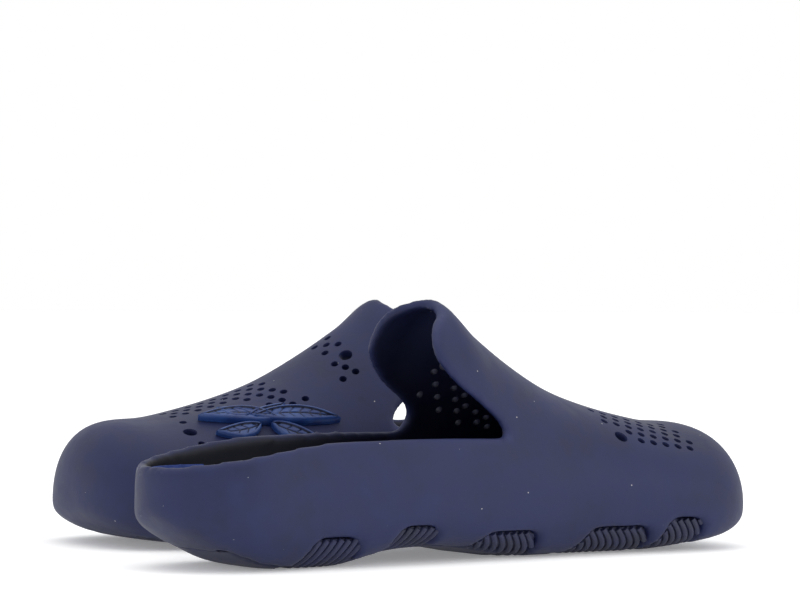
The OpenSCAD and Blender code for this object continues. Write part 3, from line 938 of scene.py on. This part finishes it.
def charmVinyl():      # injected soft vinyl: satin, a shade brighter than the clog, with painted shade in its engraving
    look = charmLook
    material, tree, shader, spot = newFinish("soft vinyl, royal blue", 0.42, 1.53)
    cloudNoise = addNode(tree, "ShaderNodeTexNoise", {
        "Vector": spot, "Scale": perMillimetre(look["cloud"]), "Detail": 3.0})
    cloud = addNode(tree, "ShaderNodeMapRange", {"Value": cloudNoise, "From Min": 0.35, "From Max": 0.65})
    # painted shade in the carved veins and along the border's inner side
    carved = addNode(tree, "ShaderNodeAttribute", attribute_name="carved")
    paintedGrooveShade = addNode(tree, "ShaderNodeMapRange", {
        "Value": carved.outputs["Fac"], "From Min": 0.15, "From Max": 0.6})
    roughness = addNode(tree, "ShaderNodeMapRange", {"Value": paintedGrooveShade, "To Min": 0.4, "To Max": 0.6})
    skin = addNode(tree, "ShaderNodeTexNoise", {
        "Vector": spot, "Scale": perMillimetre(look["skin"]), "Detail": 3.0})
    grain = addNode(tree, "ShaderNodeTexNoise", {"Vector": spot, "Scale": perMillimetre(look["grain"])})
    coat(tree, shader, look["blue"], [(cloud, look["light"]), (paintedGrooveShade, look["paintedGrooveShade"])], roughness,
         [(skin, look["skinDepth"]), (grain, look["grainDepth"])])
    return material


# how far the painted rim highlight reaches, where the heel is scuffed, and the inset past which the inside
# gets painted shade
scuffAndPaintedLight = {"highlightReach": 1.6, "scuffAt": (2, 9, 41.5), "scuffReach": 9.0, "skin": 3.6}


def depthInside(points, inset):      # 0 on the skin at this inset and outside it, rising further in
    x = np.clip(points[:, 0], inset + 0.5, clog["length"] - inset - 0.5)
    across, wide = points[:, 1] - middleOf(x), smoothCurve(clog["middleX"], clog["wideZ"], x)
    rise = smoothCurve(clog["crestX"], clog["crestZ"], x) - inset - wide
    rise = rise * endFall(x, clog["topEnds"], inset)
    high = np.clip((points[:, 2] - wide) / np.maximum(rise, 1), 0, 2)
    power = smoothCurve(clog["squareX"], clog["squareHigh"], x)
    share = (np.abs(across) / np.maximum(halfWidth(x, across, inset), 1)) ** power + high**power
    share = np.where(np.abs(points[:, 0] - x) > 1e-6, 1.2, share)
    return np.clip((1 - share) * 14, 0, 1) * (points[:, 2] > wide - 6)


def addScuffAndPaintedLight(mesh):      # painted highlight along the rim, painted shade inside, and the heel scuffed
    points = meshPoints(mesh)
    distance = edgeDistance(points)
    # painted shade, darker further inside the clog
    setNumbers(mesh, "inside", depthInside(points, scuffAndPaintedLight["skin"]))
    # painted highlight along the rim and collar
    setNumbers(mesh, "paintedRimHighlight", np.clip(1 - distance / scuffAndPaintedLight["highlightReach"] / 2, 0, 1))
    heel = np.linalg.norm((points - np.array(scuffAndPaintedLight["scuffAt"])) * (1.0, 0.45, 1.0), axis=1)
    onEdge = np.clip(1 - distance / 7, 0, 1)
    setNumbers(mesh, "scuffed", np.clip(1 - heel / scuffAndPaintedLight["scuffReach"], 0, 1) * onEdge)


finishes = {"clog_foam": mouldedFoam(), "tread_rubber": treadRubber(),
            "footbed_foam": footbedFoam(), "charm_vinyl": charmVinyl()}
print("materials ready")

perforate, sweep = perforateTree(), ribTree()
base = moulding(sweep)
shells = []
for left in (False, True):
    shell = newObject(("left" if left else "right") + "Moulding", base.data.copy())
    guides = ventGuides("ventGuides", -1 if left else 1)
    runTree(shell, perforate, Guides=guides, Depth=vents["depth"] + vents["standOut"],
            Drop=(vents["depth"] - vents["standOut"]) / 2, Flare=vents["flare"],
            FlareDepth=vents["flareDepth"], Sides=vents["sides"], Finish=finishes["clog_foam"])
    discard(guides)
    addScuffAndPaintedLight(shell.data)
    shells.append(shell)
    print("perforated:", shell.name, len(shell.data.polygons), "faces")
discard(base)

treadBase, rails = treadUnit(), ribRails()
runTree(treadBase, sweep, Rails=rails, Radius=tread["ribRadius"], Sides=tread["ribSides"],
        Finish=finishes["tread_rubber"])
discard(rails)
print("tread:", len(treadBase.data.polygons), "faces")
bedBase = footbedUnit()
bedBase.data.materials.clear()
bedBase.data.materials.append(finishes["footbed_foam"])
print("footbed:", len(bedBase.data.polygons), "faces")

skinForm = clogForm("skin")
bpy.context.view_layer.update()
sprig = leafCharm(skinForm)
discard(skinForm)
sprig.data.materials.clear()
sprig.data.materials.append(finishes["charm_vinyl"])
sprig.name = "leafCharm"
print("charm:", len(sprig.data.polygons), "faces")

for left, side in ((False, "right"), (True, "left")):
    parts = [(shells[left], side + "_body", "clog_foam"),
             (newObject(side + "Tread", treadBase.data.copy()), side + "_outsole", "tread_rubber"),
             (newObject(side + "Footbed", bedBase.data.copy()), side + "_footbed", "footbed_foam")]
    for piece, node, slot in parts:
        place(piece.data, left)
        smoothShade(piece.data)
        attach(piece, side + "_clog")
        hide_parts(node)
discard(treadBase, bedBase)
place(sprig.data, True)
smoothShade(sprig.data)
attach(sprig, "charm")
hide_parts("charm_leaf")
stud = bpy.data.objects["charm_stud"]
stud.data.materials.clear()
stud.data.materials.append(finishes["charm_vinyl"])

view = {
    "from": (-0.69225, -1.03881, 0.10726), "heading": (0.58924, 0.80796, 0.0),
    "roll": 0.338, "lens": 136.55, "sensor": 36.0, "shiftUp": 0.0058,
}


def setCamera():
    camera = bpy.data.cameras.new("camera")
    camera.lens, camera.sensor_width, camera.shift_y = view["lens"], view["sensor"], view["shiftUp"]
    obj = bpy.data.objects.new("camera", camera)
    aim = Vector(view["heading"]).to_track_quat("-Z", "Y").to_matrix().to_4x4()
    roll = Matrix.Rotation(math.radians(view["roll"]), 4, "Z")
    obj.matrix_world = Matrix.Translation(view["from"]) @ aim @ roll
    bpy.context.scene.collection.objects.link(obj)
    bpy.context.scene.camera = obj


studio = {
    "floor": "#ffffff", "floorSize": 60.0,
    "air": 1.0, "glow": 0.22,
    "lamps": [      # name, place, size, watts, aims at
        ("overhead", (-0.1, 0.1, 1.5), 1.6, 4.0, (0.1, 0.05, 0)),
        ("frontRight", (1.0, -1.6, 0.8), 1.2, 7.0, (0.15, 0.0, 0.03))],
}


def setStudio():
    half = studio["floorSize"] / 2
    floor = newObject("floor", newMesh("floor", [(-half, -half, 0), (half, -half, 0), (half, half, 0),
                                                 (-half, half, 0)], [(0, 1, 2, 3)]))
    material, shader = newFinish("painted paper sweep", 0.9, 1.45)[0::2]
    shader.inputs["Base Color"].default_value = linear(studio["floor"])
    shader.inputs["Specular IOR Level"].default_value = 0.1
    shader.inputs["Emission Color"].default_value = (1, 1, 1, 1)
    shader.inputs["Emission Strength"].default_value = studio["glow"]      # like a light table
    floor.data.materials.append(material)
    for name, spot, size, watts, target in studio["lamps"]:
        lamp = bpy.data.lights.new(name, "AREA")
        lamp.size, lamp.energy = size, watts
        obj = bpy.data.objects.new(name, lamp)
        aim = (Vector(target) - Vector(spot)).to_track_quat("-Z", "Y").to_matrix().to_4x4()
        obj.matrix_world = Matrix.Translation(spot) @ aim
        bpy.context.scene.collection.objects.link(obj)
    world = bpy.data.worlds.new("studio")
    world.use_nodes = True
    world.node_tree.nodes["Background"].inputs["Color"].default_value = (1, 1, 1, 1)
    world.node_tree.nodes["Background"].inputs["Strength"].default_value = studio["air"]
    bpy.context.scene.world = world
    bpy.context.scene.view_settings.view_transform = "Standard"


setCamera()
setStudio()
print("camera and lights set")

bpy.context.view_layer.update()
